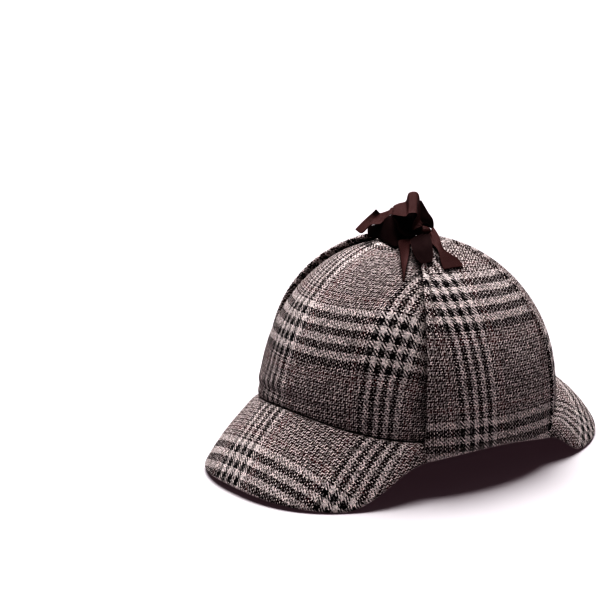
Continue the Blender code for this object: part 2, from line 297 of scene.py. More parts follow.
def soft_waves(across, along, size, seed):
    """Gentle unevenness: eight plane waves of about this length, in random directions, averaged."""
    random = np.random.default_rng(seed)
    total = 0
    for way, phase, stretch in zip(random.uniform(0, pi, 8), random.uniform(0, 2 * pi, 8),
                                   random.uniform(0.7, 1.5, 8)):
        total = total + np.sin(2 * pi / (size * stretch) * (across * cos(way) + along * sin(way)) + phase)
    return total / 8


# %% [markdown]
# ## The cloth: a 2/2 twill in glen check
#
# It comes from the order of dark and light yarns in the warp and in the weft, crossed in a 2/2 twill.
# Six or eight dark and as many light yarns in turn make the large houndstooth bands, groups of five with
# three dark ones make the fine broken ground, and a few rust yarns run beside each band. So the shader
# does what the loom does. It counts yarns across and along the cloth, looks up each yarn's colour from
# its number, and asks the twill which of the two lies on top. Another node group adds loose fibres to
# cloth, ribbon and thread.

# %% Shader values that add and multiply like numbers
def operator(operation, swap=False):
    """What a sign between two values does."""
    return lambda one, other: calculate(operation, *((other, one) if swap else (one, other)))


class Value:
    """A number, colour or vector in a shader; each sum, product or comparison of it becomes one Math node."""

    def __init__(self, socket):
        self.socket = socket
        self.tree = socket.id_data

    __add__, __sub__, __mul__, __truediv__, __mod__, __lt__, __gt__ = map(operator, (
        "ADD", "SUBTRACT", "MULTIPLY", "DIVIDE", "FLOORED_MODULO", "LESS_THAN", "GREATER_THAN"))
    __rsub__ = operator("SUBTRACT", swap=True)


def new_node(kind, *values):
    """A node of this kind, in the tree of the first shader value among these."""
    return next(value.tree for value in values if isinstance(value, Value)).nodes.new("ShaderNode" + kind)


def calculate(operation, *values):
    """One Math node."""
    node = new_node("Math", *values)
    node.operation = operation
    set_sockets(node.inputs, dict(enumerate(values)))
    return Value(node.outputs[0])


def set_sockets(sockets, values):
    """Link each named or numbered socket to a shader value, or set it to a plain one."""
    for key, value in values.items():
        if isinstance(value, Value):
            value.tree.links.new(value.socket, sockets[key])
        else:
            sockets[key].default_value = value


def mix(factor, first, second):
    """One colour Mix node, from first to second."""
    node = new_node("Mix", factor, first, second)
    node.data_type = "RGBA"
    set_sockets(node.inputs, {0: factor, 6: first, 7: second})
    return Value(node.outputs[2])


def shaded(colour, factor):
    """A colour times a number."""
    node = new_node("VectorMath", colour)
    node.operation = "SCALE"
    set_sockets(node.inputs, {0: colour, "Scale": factor})
    return Value(node.outputs[0])


def noise(place, scale, detail, roughness=0.5):
    """One Noise Texture, from 0 to 1."""
    node = new_node("TexNoise", place)
    set_sockets(node.inputs, {"Vector": place, "Scale": scale, "Detail": detail, "Roughness": roughness})
    return Value(node.outputs["Fac"])


def parts_of(value, kind):
    """The parts that a Separate node of this kind makes of a vector or colour."""
    node = new_node("Separate" + kind, value)
    set_sockets(node.inputs, {0: value})
    return [Value(output) for output in node.outputs]


def new_group(name, **inputs):
    """A node group, its inputs as values, and the sockets that take its colour and height."""
    group = bpy.data.node_groups.new(name, "ShaderNodeTree")
    for title, kind in inputs.items():
        group.interface.new_socket(title, in_out="INPUT", socket_type="NodeSocket" + kind)
    for title, kind in (("Color", "Color"), ("Height", "Float")):
        group.interface.new_socket(title, in_out="OUTPUT", socket_type="NodeSocket" + kind)
    given = group.nodes.new("NodeGroupInput").outputs
    results = group.nodes.new("NodeGroupOutput").inputs
    return group, [Value(given[title]) for title in inputs], results


# %% Fibre group: loose hairs and uneven dye on any yarn
def fibre_group():
    """Colour times a slow and a fine noise, and a fine height from the same hairs."""
    group, (place, colour, unevenness), results = new_group(
        "loose_fibres", Place="Vector", Color="Color", Unevenness="Float")
    slow, fine = noise(place, 90, 3), noise(place, 2600, 3, 0.7)
    swing = (slow * 0.4 + fine * 0.6 - 0.5) * unevenness
    set_sockets(results, {"Color": shaded(colour, swing * 4.0 + 1.0), "Height": fine})
    return group


fibres = fibre_group()

# %% Glen check group: counts yarns and crosses them in a twill
Yarns = namedtuple("Yarns", "pitch stripe repeat group rust_beside rust_reach")
WARP = Yarns(0.5417 * MM, 6, 144, 5, 9.5, 3.6)
WEFT = Yarns(0.5817 * MM, 8, 153, 5, 10.3, 3.8)
BAND_STRIPES = 8         # dark and light in turn
BROWN_GROUND = 0.3       # the share of rust in the dark yarns between the bands
TWILL = 4                # yarns until the twill repeats


def yarn_colour(number, yarns, light, dark, rust):
    """Colour from a yarn's number: dark in half of each stripe, and else at even places in a group."""
    band = BAND_STRIPES * yarns.stripe
    place = number % yarns.repeat
    in_band = place < band - 0.5
    wide = place % (2 * yarns.stripe) < yarns.stripe - 0.5
    fine = place % yarns.group % 2 < 0.5
    is_dark = in_band * wide + (1.0 - in_band) * fine
    after = calculate("COMPARE", place, band + yarns.rust_beside, yarns.rust_reach)
    before = calculate("COMPARE", place, yarns.repeat - yarns.rust_beside, yarns.rust_reach)
    ground = in_band * -BROWN_GROUND + BROWN_GROUND
    rusty = calculate("MAXIMUM", calculate("MAXIMUM", after, before), ground) * is_dark
    return mix(rusty, mix(is_dark, light, dark), rust)


def glen_group():
    """The woven check: colour and height of the yarn on top at each place of the cloth."""
    group, (place, *colours, shade), results = new_group(
        "glen_check_twill", Place="Vector", Light="Color", Dark="Color", Rust="Color", Shade="Float")
    x, y, _ = parts_of(place, "XYZ")
    wander = (noise(place, 130, 1) - 0.5) * 0.9 + (noise(place, 700, 1) - 0.5) * 0.8
    across, along = x / WARP.pitch + wander, y / WEFT.pitch - wander
    warp, weft = calculate("FLOOR", across), calculate("FLOOR", along)
    in_warp, in_weft = calculate("FRACT", across), calculate("FRACT", along)
    step = (warp + weft) % TWILL
    warp_top = step < TWILL / 2 - 0.5

    def on_top(of_warp, of_weft):
        return warp_top * of_warp + (1.0 - warp_top) * of_weft

    # A yarn is round across and arched along its float over two others, with a twist round it.
    side, travel = on_top(in_warp, in_weft), on_top(in_weft, in_warp)
    edge = side * 2.0 + -1.0
    arch = calculate("SINE", (step % 2 + travel) * 0.5 * pi)
    height = calculate("SQRT", 1.0 - edge * edge) * (arch * 0.6 + 0.4)
    twist = calculate("SINE", (on_top(along, across) * 2.5 + side) * (2 * pi))

    # Each float draws its own dye and, now and then, a fleck of the other colour.
    number = new_node("CombineXYZ", place)
    set_sockets(number.inputs, {0: on_top(warp, weft + 500.0), 1: calculate("FLOOR", (warp + weft) / TWILL)})
    chance = new_node("TexWhiteNoise", place)
    chance.noise_dimensions = "2D"
    set_sockets(chance.inputs, {"Vector": Value(number.outputs[0])})
    dye = Value(chance.outputs["Value"]) * 1.2 + 0.4
    draw = parts_of(Value(chance.outputs["Color"]), "Color")[1]
    top = mix(warp_top, yarn_colour(weft, WEFT, *colours), yarn_colour(warp, WARP, *colours))
    mottled = mix((draw > 0.76) * 0.5, top, mix(0.5, *colours[:2]))
    # Each yarn darkens towards its edges, down to the Shade share: painted shade in the gaps between yarns.
    painted_gap_shade = calculate("SQRT", calculate("MAXIMUM", height, 0.0)) * (1.0 - shade) + shade
    set_sockets(results, {"Color": shaded(mottled, dye * painted_gap_shade), "Height": twist * 0.08 + height})
    return group


glen = glen_group()
print("one repeat of the check:", round(WARP.repeat * WARP.pitch / MM), "by",
      round(WEFT.repeat * WEFT.pitch / MM), "mm")

# %% [markdown]
# ## Three finishes
#
# Wool tweed is matt, with a faint bright edge from the fibres that stand up, which Sheen gives. The
# ribbon is a ribbed satin: many fine ribs across its width, a soft gloss, and a tight selvage along each
# side. The sewing thread is plain. Bump nodes turn each group's height into light and shade.

# %% Materials
def start_material(name, plain):
    """A Principled material with these plain values, its shader's inputs and the place on the cloth map."""
    material = bpy.data.materials.new(name)
    material.use_nodes = True
    shader = material.node_tree.nodes["Principled BSDF"].inputs
    set_sockets(shader, plain)
    cloth_map = material.node_tree.nodes.new("ShaderNodeUVMap")
    cloth_map.uv_map = "cloth"
    return material, shader, Value(cloth_map.outputs["UV"])


def bumped(height, distance, strength=1.0, under=None):
    """A normal from a height, over another normal if one is given."""
    node = new_node("Bump", height)
    set_sockets(node.inputs, {"Distance": distance, "Strength": strength, "Height": height})
    if under:
        set_sockets(node.inputs, {"Normal": under})
    return Value(node.outputs["Normal"])


def use_group(group, **values):
    """Place a node group beside its Place value, set its inputs, and give its outputs by name."""
    node = new_node("Group", values["Place"])
    node.node_tree = group
    set_sockets(node.inputs, values)
    return {output.name: Value(output) for output in node.outputs}


def tweed_material():
    """Glen check wool, yarn by yarn, with loose fibres over it and a paler painted highlight along the flaps'
    folded edge.
    """
    plain = {"Roughness": 0.92, "Specular IOR Level": 0.06, "Sheen Weight": 0.03, "Sheen Roughness": 0.5}
    material, shader, place = start_material("glen_check_tweed", plain)
    pale = (0.68, 0.60, 0.585, 1)
    woven = use_group(glen, Place=place, Light=pale, Dark=(0.0085, 0.0050, 0.0066, 1),
                      Rust=(0.085, 0.024, 0.025, 1), Shade=0.12)
    # Where that attribute is set, the colour turns towards the pale yarn: a painted highlight along the
    # flaps' folded edge.
    edge_highlight_share = new_node("Attribute", place)
    edge_highlight_share.attribute_name = "painted_edge_highlight"
    painted_edge_highlight = mix(Value(edge_highlight_share.outputs["Fac"]) * 0.22, woven["Color"], pale)
    hairs = use_group(fibres, Place=place, Color=painted_edge_highlight, Unevenness=0.24)
    under = bumped(hairs["Height"], 0.12 * MM, 0.6)
    normal = bumped(woven["Height"], 0.42 * MM, 0.9, under)
    set_sockets(shader, {"Base Color": hairs["Color"], "Normal": normal})
    return material


RIB_PITCH = 0.62 * MM
LINE_PITCH = 0.3 * MM
RIBBON_WIDTH = 20 * MM
SELVAGE = 0.9 * MM
DULL_PLACE = 100 * MM    # the ribbon's dull face is mapped this far aside, a whole number of widths


def ribbon_material():
    """Brown ribbon: ribs across its width, fine lines along it, flat selvages and a dull reverse."""
    plain = {"Specular IOR Level": 0.13, "Specular Tint": (1.0, 0.5, 0.48, 1)}
    material, shader, place = start_material("brown_ribbon", plain)
    x, y, _ = parts_of(place, "XYZ")
    rib = y / RIB_PITCH + noise(place, 300, 2) * 0.5
    ribs = calculate("ABSOLUTE", calculate("SINE", rib * pi))
    lines = calculate("SINE", x * (2 * pi / LINE_PITCH))
    inside = calculate("PINGPONG", x, RIBBON_WIDTH / 2) > SELVAGE
    height = ribs * inside * 0.8 + lines * 0.1
    # The lustrous face is darker in the valleys between its ribs: painted shade.
    lustrous = mix(ribs * 0.35 + 0.65, (0.009, 0.0036, 0.0036, 1), (0.045, 0.0175, 0.0168, 1))
    is_dull = x > DULL_PLACE / 2
    colour = mix(is_dull, lustrous, (0.011, 0.0045, 0.005, 1))
    hairs = use_group(fibres, Place=place, Color=colour, Unevenness=0.32)
    rough = is_dull * 0.3 + (noise(place, 160, 3) * 0.22 + 0.38)
    normal = bumped(height, 0.16 * MM, 0.8)
    set_sockets(shader, {"Base Color": hairs["Color"], "Roughness": rough, "Normal": normal})
    return material


def thread_material():
    """Brown sewing thread with uneven fibres."""
    material, shader, place = start_material("dark_thread", {"Roughness": 0.7})
    where = Value(new_node("TexCoord", place).outputs["Object"])
    hairs = use_group(fibres, Place=where, Color=(0.10, 0.075, 0.07, 1), Unevenness=0.25)
    set_sockets(shader, {"Base Color": hairs["Color"], "Normal": bumped(hairs["Height"], 0.05 * MM)})
    return material


tweed, ribbon, thread = tweed_material(), ribbon_material(), thread_material()


def finish_piece(obj, material, slot, *nodes):
    """Give a piece its material, let it ride on the hat's one body, and hide the frame's pieces that it
    replaces. The slot is not used.
    """
    obj.data.materials.append(material)
    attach(obj, "root")
    if nodes:
        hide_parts(*nodes)
    print(f"{obj.name}: {len(obj.data.polygons)} faces")


def grid_area(points):
    """Area of a grid: half the cross product of each cell's two diagonals, added up."""
    first, second = points[1:, 1:] - points[:-1, :-1], points[1:, :-1] - points[:-1, 1:]
    return np.linalg.norm(np.cross(first, second), axis=-1).sum() / 2


def declare_sheet(obj, size, area, held, rests_on):
    """Say the piece's flat width and length, and its area, kept between 0.3 and 1 of that rectangle."""
    width, length = size
    area = float(np.clip(area, 0.3 * width * length, width * length))
    print(f"{obj.name}: cut from {width / MM:.0f} by {length / MM:.0f} mm, {area * 1e4:.0f} square cm")


def flat_size(cloth):
    """Width and length of a flat map, and the area that it fills."""
    return np.ptp(cloth.reshape(-1, 2), axis=0), grid_area(np.pad(cloth, ((0, 0), (0, 0), (0, 1))))


# %% [markdown]
# ## The grain of each piece
#
# A hatter cuts each gore with the warp up its middle. Two lengths measured on the finished surface give
# a fair flat map of it: how far a point is round from the gore's middle line, and how far up that line.
# Steaming the gore to shape stretches it a little towards the top, so the map may spread and slant with
# height. The last two numbers shift the check until its bands fall where the real ones do.

# %% Flat map of a gore
Grain = namedtuple("Grain", "spread shift lean rise first_warp first_weft")
MAP_LEVEL = 40 * MM      # the height up the middle where the map neither spreads nor shifts
MAP_SPAN = 44 * MM
MAP_STEPS = 33


def lengths_along(points, axis):
    """Running length of a grid's lines along one axis, from zero."""
    steps = step_lengths(points, axis)
    return np.concatenate([np.zeros_like(np.take(steps, [0], axis)), np.cumsum(steps, axis)], axis)


def path_length(angle, climb):
    """Length on the dome of the paths whose steps are the first axis."""
    return step_lengths(dome(angle, climb)).sum(axis=0)


def gore_map(middle, angle, climb, grain):
    """Arc round from the middle line and arc up from the rim, spread, shifted and bent by the grain."""
    share = np.linspace(0, 1, MAP_STEPS)[:, None, None]
    across = np.sign(angle - middle) * path_length(middle + (angle - middle) * share, climb + 0 * share)
    up = path_length(angle + 0 * share, climb * share)
    level = np.clip((up - MAP_LEVEL) / MAP_SPAN, -0.7, 1.3)
    ease = ramp(np.abs(across), 50 * MM)
    ease = np.sign(across) * ease**2 * (3 - 2 * ease)
    warp = across * (1 - grain.spread * level) + grain.shift * level * ease + grain.lean * (up - MAP_LEVEL)
    beyond = np.clip(np.abs(across) - 45 * MM, 0, None)
    weft = up + grain.rise * beyond**2 * (up / (84 * MM)) ** 2
    return stacked(warp - grain.first_warp, weft - grain.first_weft)


# %% [markdown]
# ## Crown
#
# Four gores meet at the apex. Each is a patch of the dome between two angles, from its lower edge up.
# Cloth dips where it is sewn, so the surface sinks in a narrow valley along each side edge, and the two
# gores meet at the bottom of it. The lower edge has the arch of the peak's seam. Slow waves of a few
# tenths of a millimetre take away the look of a cast shell.

# %% Seams and edges of the crown
PIECE_GAP = 0.4 * MM
PANEL_SEAM = radians(62)
PEAK_END = radians(60.2)
FLAP_FRONT = radians(60.5)
SEAM_DIP = 0.9 * MM
SEAM_WIDTH = 1.8 * MM
FOOT_ROLL = 0.8 * MM
FLAP_HOLLOW = 1.9 * MM   # how far the front and back gores give way beside the flaps' edges
HOLLOW_WIDTH = 7 * MM
Peak = namedtuple(
    "Peak", "facing corner_height seam_arch arch_power reach fullness middle_drop low_drop low_at bulge"
)
FRONT_PEAK = Peak(-1, 12 * MM, 10 * MM, 1.8, 83 * MM, 2.4, 22 * MM, 24 * MM, radians(52), 3 * MM)
REAR_PEAK = Peak(1, 9 * MM, 19 * MM, 1.8, 95 * MM, 1.9, 6 * MM, 14 * MM, radians(66), 4 * MM)
FLAP_CLOTH = 2.2 * MM
FLAP_GAP = 0.8 * MM
FLAP_ARCH = 6 * MM
FLAP_HALF = pi / 2 - FLAP_FRONT


def flap_share(angle):
    """Place across a flap: 0 on its middle line, 1 at its front edge and -1 at its back edge."""
    return (pi / 2 - np.abs(angle)) / FLAP_HALF


def seam_height(peak, share):
    """Height of the seam between crown and peak: a cosine arch, highest in the middle."""
    bow = np.cos(np.clip(np.abs(share), 0, 1) * pi / 2)
    return peak.corner_height + peak.seam_arch * np.maximum(bow, 0) ** peak.arch_power


def fold_height(angle):
    """Height of a flap's folded lower edge: a cosine arch between its two corners."""
    return FLAP_ARCH * np.cos(np.clip(flap_share(angle), -1, 1) * pi / 2)


def spaced(count, edge_share=0.0):
    """Numbers from 0 to 1, closer together at the ends by the given share of a sine."""
    even = np.linspace(0, 1, count)
    return even - edge_share * np.sin(2 * pi * even) / (2 * pi)


def crown_gore(name, middle, half_angle, lower_edge, columns, rows, grain, hollow=0.0, crease=None):
    """One gore: angles across, climbs up to the apex, sunk along its sides and rolled under at its foot."""
    u, v = np.meshgrid(spaced(columns, 0.6), spaced(rows, 0.3))
    side = 2 * u - 1
    angle = middle + side * half_angle
    low = climb_at(lower_edge(angle) + CROWN_CLOTH / 2)
    climb = low + (APEX - low) * v
    surface = dome(angle, climb)
    arc = lengths_along(surface, 1)
    to_side = np.minimum(arc, arc[:, -1:] - arc)
    up = lengths_along(surface, 0)
    lift = -SEAM_DIP * bell(to_side, SEAM_WIDTH)
    lift = lift - hollow * bell(to_side, HOLLOW_WIDTH) * ramp(up - 3 * MM, 12 * MM)
    lift = lift + 0.5 * MM * soft_waves(arc + middle, up, 45 * MM, 3) * ramp(up, 20 * MM)
    lift = lift - FOOT_ROLL * bell(up, 2.2 * MM)
    if crease:
        lift = lift + crease(angle, up, up[-1:] - up)
    outer = off_dome(angle, climb, lift * np.clip((1 - v) * 12, 0, 1))
    cloth = gore_map(middle, angle, climb, grain)
    obj = cloth_wall(name + "_cloth", outer, cloth, CROWN_CLOTH)
    close_pole(obj)
    finish_piece(obj, tweed, "tweed", name)
    declare_sheet(obj, *flat_size(cloth), "stretched", ("front_peak", "rear_peak"))


# %% The four gores
def front_edge(angle):
    """Height of the front gore's lower edge, and below those of the back and the side gores."""
    return seam_height(FRONT_PEAK, angle / PEAK_END)


def back_edge(angle):
    return seam_height(REAR_PEAK, (pi - angle) / PEAK_END)


def side_edge(angle):
    return fold_height(angle) + FLAP_CLOTH + 2 * PIECE_GAP


def front_crease(angle, up, down):
    """A soft tuck above the peak, where the cloth is eased in, and fine gathers that the bow pulls up."""
    fade = bell(angle + radians(8), radians(34))
    tuck = -1.1 * bell(up - 7 * MM, 2.6 * MM) + 0.7 * bell(up - 12 * MM, 4 * MM)
    near_bow = bell(angle - radians(50), radians(15)) * bell(down - 38 * MM, 17 * MM)
    gather = 0.42 * np.cos(2 * pi * angle / radians(9.5) + down / (14 * MM))
    return MM * (fade * tuck + near_bow * (gather - 0.5))


FRONT_GRAIN = Grain(0.155, 12.4 * MM, 0, 7.7, 51.8 * MM, 53.3 * MM)
BACK_GRAIN = Grain(0.155, 12.4 * MM, 0, 7.7, -11 * MM, 30 * MM)
SIDE_GRAIN = Grain(0, 0, 0, 0, 0, 0)
half_side = pi / 2 - PANEL_SEAM
crown_gore("crown_front_panel", 0, PANEL_SEAM, front_edge, 181, 141, FRONT_GRAIN, FLAP_HOLLOW, front_crease)
crown_gore("crown_back_panel", pi, PANEL_SEAM, back_edge, 171, 121, BACK_GRAIN, FLAP_HOLLOW)
crown_gore("crown_side_left", pi / 2, half_side, side_edge, 61, 81, SIDE_GRAIN)
crown_gore("crown_side_right", -pi / 2, half_side, side_edge, 61, 81, SIDE_GRAIN)

# %% [markdown]
# ## Peaks
#
# Each peak is a stiff crescent, covered in cloth, whose inner edge is sewn in under the crown. It falls
# from that seam to an oval outer edge that is lowest at both sides, in a gentle bulge. Its cover is cut
# flat, so its map is found by laying the peak out flat: the strips between neighbouring fall lines are
# unrolled one after another, and the angles that add up give each line's place and direction.

# %% Peak surface
PEAK_CLOTH = 3.0 * MM
PEAK_STAND_OFF = 4.6 * MM
SEAM_ALLOWANCE = 4 * MM


def peak_edge(peak, turn):
    """Outer edge: a full oval in plan, whose height goes by half cosines between its drops."""
    corner = off_dome(np.array([PEAK_END]), climb_at(0), PEAK_STAND_OFF)[0]
    across, back = oval(turn, peak.fullness)
    inner = (1 - np.cos(pi * ramp(np.abs(turn), peak.low_at))) / 2
    outer = (1 - np.cos(pi * ramp(pi / 2 - np.abs(turn), pi / 2 - peak.low_at))) / 2
    middle = -peak.middle_drop + (peak.middle_drop - peak.low_drop) * inner
    height = np.where(np.abs(turn) < peak.low_at, middle, -peak.low_drop * outer)
    forward = peak.facing * (abs(corner[1]) - peak.reach * back)
    return stacked(corner[0] * across, forward, height)


def corner_angle(at, first, second):
    """Angle at a point between the directions to two others."""
    a, b = first - at, second - at
    return np.arccos(np.clip((unit(a) * unit(b)).sum(-1), -1, 1))


def lay_flat(seam, edge):
    """Unroll the strips between lines seam[k]-edge[k]: their flat starts and directions, by running sums."""
    at_seam = corner_angle(seam[:-1], edge[:-1], edge[1:]) + corner_angle(seam[:-1], edge[1:], seam[1:])
    at_next = corner_angle(seam[1:], seam[:-1], edge[:-1]) + corner_angle(seam[1:], edge[:-1], edge[1:])
    turn = np.concatenate([[0], np.cumsum(pi - at_seam - at_next)])
    middle = len(seam) // 2
    turn = turn - turn[middle] + pi / 2
    heading = turn[:-1] - at_seam
    start = np.cumsum(step_lengths(seam)[:, None] * stacked(np.cos(heading), np.sin(heading)), axis=0)
    start = np.concatenate([[[0, 0]], start])
    return start - start[middle], stacked(np.cos(turn), np.sin(turn))


def peak_piece(name, peak, first_warp, first_weft, columns=221, rows=71):
    """One peak: turned up inside the crown, under its edge, then from the seam to the round outer edge."""
    share = np.linspace(-1, 1, columns)
    angle = share * PEAK_END if peak.facing < 0 else pi - share * PEAK_END
    climb = climb_at(seam_height(peak, share) - PIECE_GAP)
    seam = off_dome(angle, climb, np.full(columns, PIECE_GAP))
    inside = np.full(columns, -CROWN_CLOTH - SEAM_DIP - FOOT_ROLL - PIECE_GAP)
    tuck = off_dome(angle, climb, inside)
    turned_up = off_dome(angle, climb_at(seam_height(peak, share) + SEAM_ALLOWANCE), inside)
    edge = peak_edge(peak, share * pi / 2 * 0.9999)
    edge = edge - unit(edge - seam) * PEAK_CLOTH / 2
    fall = spaced(rows, 0.4)[:, None, None]
    bulge = 4 * fall * (1 - fall) * peak.bulge * np.array([0, 0.5 * peak.facing, 0.8])
    slope = (1 - fall) * seam + fall * edge + bulge
    tucks = np.linspace(0, 1, 5)[:-1, None, None]
    outer = np.concatenate([turned_up + (tuck - turned_up) * tucks, tuck + (seam - tuck) * tucks, slope])
    at_seam = 2 * len(tucks)
    arc = lengths_along(slope, 0)
    wave = 0.35 * MM * soft_waves(arc, lengths_along(slope, 1), 38 * MM, 11)
    rise = 0.5 * MM * bell(arc - 5 * MM, 3.5 * MM)
    outer[at_seam:, :, 2] += wave * ramp(arc, 8 * MM) + rise
    start, way = lay_flat(seam, edge)
    arc = lengths_along(outer, 0) - lengths_along(outer, 0)[at_seam]
    flat = start + arc[..., None] * way
    cloth = stacked(flat[..., 0] - first_warp, -flat[..., 1] - first_weft)
    if peak.facing < 0:
        outer, cloth = outer[::-1], cloth[::-1]
    obj = cloth_wall(name + "_cloth", outer, cloth, PEAK_CLOTH)
    finish_piece(obj, tweed, "tweed", name)


peak_piece("front_peak", FRONT_PEAK, 57.2 * MM, -63.6 * MM)
peak_piece("rear_peak", REAR_PEAK, 57.2 * MM, -45 * MM)

# %% [markdown]
# ## Ear flaps
#
# A flap is sewn inside the rim, turns out round it and climbs the crown to a narrow tip. Its profile is
# a half ellipse for the turn and then the crown's curve with a small lift, and its two free edges stand
# off the crown. A row of stitches runs just inside the free edges and the fold, in a shallow groove.

# %% Topstitching: short bars of thread, set in the groove
STITCH_INSET = 3.6 * MM  # from a free edge
FOLD_INSET = 2.6 * MM
STITCH_PITCH = 3.3 * MM
STITCH_LENGTH = 2.5 * MM
THREAD_RADIUS = 0.26 * MM
BAR_SIDES = 6
BAR_RINGS = 4


def stitch_row(name, path, normal):
    """Bars at even lengths along a path: six-sided tubes whose two ends dip into the cloth."""
    along = lengths_along(path[:, None], 0)[:, 0]
    middles = np.arange(STITCH_PITCH, along[-1] - STITCH_PITCH, STITCH_PITCH)
    within = np.linspace(-1, 1, BAR_RINGS)
    where = middles[:, None] + within * STITCH_LENGTH / 2
    centre, up = (stacked(*(np.interp(where, along, values) for values in line.T)) for line in (path, normal))
    side = np.cross(unit(np.gradient(centre, axis=1)), up)
    centre = centre + up * (0.6 - 1.0 * within[None, :, None] ** 2) * THREAD_RADIUS
    turn = np.arange(BAR_SIDES)[:, None] * 2 * pi / BAR_SIDES
    ring = side[:, :, None] * np.cos(turn) + up[:, :, None] * np.sin(turn)
    points = centre[:, :, None] + ring * THREAD_RADIUS * np.sqrt(1.05 - 0.8 * within**2)[:, None, None]
    loops = np.arange(points[..., 0].size).reshape(-1, BAR_RINGS, BAR_SIDES)
    after = np.roll(loops, -1, axis=2)
    sides = stacked(loops[:, :-1], loops[:, 1:], after[:, 1:], after[:, :-1]).reshape(-1, 4)
    caps = [loops[:, 0, [0, 1, 2, 3]], loops[:, 0, [0, 3, 4, 5]],
            loops[:, -1, [0, 5, 4, 3]], loops[:, -1, [0, 3, 2, 1]]]
    finish_piece(new_mesh(name, to_world(points.reshape(-1, 3)), [sides, *caps]), thread, "tweed")


def stitch_line(name, inset, points, normal, distance):
    """A row of stitches where the inset, which grows along each line of a grid, reaches this distance."""
    path, way = (stacked(*([np.interp(distance, line, values) for line, values in zip(inset, part)]
                           for part in np.moveaxis(grid, -1, 0)))
                 for grid in (points, normal))
    stitch_row(name + "_stitches", path, way)


def stitch_flap(name, outer, across, up):
    """Three rows of stitches: beside the front edge, beside the back edge and above the fold."""
    normal = grid_normals(outer)
    above = slice(np.argmax(up[:, 0] > STITCH_INSET), len(up) - 4)
    for edge, inset, step in (("front", across, 1), ("back", across[:, -1:] - across, -1)):
        grids = (grid[above, ::step] for grid in (inset, outer, normal))
        stitch_line(f"{name}_{edge}", *grids, STITCH_INSET)
    grids = (np.swapaxes(grid[:, 8:-8], 0, 1) for grid in (up, outer, normal))
    stitch_line(f"{name}_fold", *grids, FOLD_INSET)


# %% Flap surface
FLAP_EDGE_OPEN = 2.6 * MM
RIGHT_FRONT_OPEN = 3.2 * MM
FLAP_TOP = 117 * MM
HEM_FILL = 0.33          # the share of the open gap along a free edge that the turned hem takes up
EDGE_HIGHLIGHT_REACH = 1.3 * MM     # how far from the folded edge the painted highlight reaches


def flap_lift(angle, height):
    """How far the outer face stands off the crown: thickness and gap, and more along the free edges."""
    share = flap_share(angle)
    edge = ramp(np.abs(share) - 0.5, 0.5) ** 2
    belly = np.sin(pi * ramp(height, FLAP_TOP))
    spring = RIGHT_FRONT_OPEN * np.clip(share, 0, 1) ** 3 * np.clip(-np.sign(angle), 0, 1)
    return FLAP_CLOTH + FLAP_GAP + (FLAP_EDGE_OPEN * edge + spring) * belly


def flap_grid(side, columns, turn_rows, climb_rows):
    """Outer face of a flap: the turn under the rim first, then up the crown, and how open it is there."""
    share = 2 * spaced(columns, 0.5) - 1
    angle = side * (pi / 2 + side * share * FLAP_HALF)
    fold = fold_height(angle)
    turn = np.linspace(0, pi, turn_rows, endpoint=False)[:, None]
    outside = flap_lift(angle, fold)
    lift = (outside - CROWN_CLOTH) / 2 - (outside + CROWN_CLOTH) / 2 * np.cos(turn)
    rise = 1.2 * MM * (turn / pi) ** 2 - 1.0 * MM * np.sin(turn)
    under = off_dome(angle, climb_at(fold) + 0 * turn, lift)
    under[..., 2] = fold + rise
    low, high = climb_at(fold + 1.2 * MM), climb_at(FLAP_TOP - FLAP_CLOTH / 2)
    climb = low + (high - low) * np.linspace(0, 1, climb_rows)[:, None]
    lift = flap_lift(angle, dome(angle, climb)[..., 2])
    return np.concatenate([under, off_dome(angle, climb, lift)]), angle, climb, lift - FLAP_CLOTH - FLAP_GAP


def flap_piece(name, side, grain, columns=131, turn_rows=12, climb_rows=141):
    """A flap with its stitch groove and a slight pucker along it."""
    base, angle, climb, loose = flap_grid(side, columns, turn_rows, climb_rows)
    across, up = lengths_along(base, 1), lengths_along(base, 0)
    to_edge = np.minimum(across, across[:, -1:] - across)
    up = up - up[turn_rows]
    to_edge = np.minimum(to_edge, np.abs(up) + 1 * MM)
    groove = -0.55 * MM * bell(to_edge - STITCH_INSET, 0.8 * MM)
    roll = 0.6 * MM * bell(to_edge - 1.2 * MM, 1.3 * MM)
    pucker = 0.18 * MM * np.sin(2 * pi * up / (6.5 * MM)) * bell(to_edge - 2.5 * MM, 3 * MM)
    slow = 0.45 * MM * soft_waves(across, up, 40 * MM, 5 + side) * ramp(to_edge, 10 * MM)
    lift = np.where(up >= 0, groove + pucker + slow + roll, roll * ramp(up + 2 * MM, 2 * MM))
    outer = base + lift[..., None] * grid_normals(base)
    hem = FLAP_CLOTH + HEM_FILL * np.concatenate([0 * outer[:turn_rows, :, 0], loose])
    cloth = gore_map(side * pi / 2, angle, climb, grain)
    below = step_lengths(outer[:turn_rows + 1])[::-1].cumsum(0)[::-1]
    cloth = np.concatenate([stacked(cloth[0, :, 0], cloth[0, :, 1] - below), cloth])
    # A painted highlight along the folded edge, fading within a few millimetres of the fold.
    painted_edge_highlight = bell(np.abs(up) - 0.3 * MM, EDGE_HIGHLIGHT_REACH)
    obj = cloth_wall(name + "_cloth", outer, cloth, hem, painted_edge_highlight=painted_edge_highlight)
    finish_piece(obj, tweed, "tweed", name)
    declare_sheet(obj, *flat_size(cloth), "folded", (name.replace("ear_flap", "crown_side"),))
    stitch_flap(name, outer, across, up)


LEFT_GRAIN = Grain(0, 0, 0.03, 0, -31.8 * MM, 76.1 * MM)
RIGHT_GRAIN = Grain(0, 0, 0.03, 0, 6 * MM, 76.1 * MM)
flap_piece("ear_flap_left", 1, LEFT_GRAIN)
flap_piece("ear_flap_right", -1, RIGHT_GRAIN)

